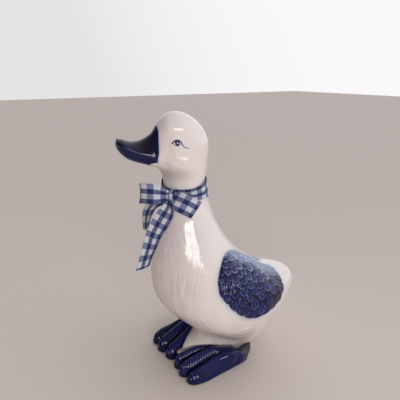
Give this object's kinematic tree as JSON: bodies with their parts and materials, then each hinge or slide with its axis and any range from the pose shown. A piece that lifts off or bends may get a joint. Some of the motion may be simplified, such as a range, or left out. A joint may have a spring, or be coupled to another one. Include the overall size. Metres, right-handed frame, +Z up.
{
  "type": "duck figurine",
  "caption": "Standing porcelain duck with a turned head, raised feathered wings and webbed feet, and a checked ribbon tied in a bow round its neck.",
  "frame": {"origin": "centre of the bounding box at the soles, on the surface the duck stands on", "axes": "+Z up, -Y the way the duck's body faces, +X towards its left side"},
  "size_m": [0.098, 0.1668, 0.2215],
  "materials": {
    "glazed_porcelain": "glossy cream white glaze, painted cobalt blue on bill, eyes, wings and feet",
    "ribbon": "woven blue and white gingham"
  },
  "bodies": {
    "root": {"duck": "glazed_porcelain", "ribbon_bow": "ribbon"}
  },
  "joints": []
}
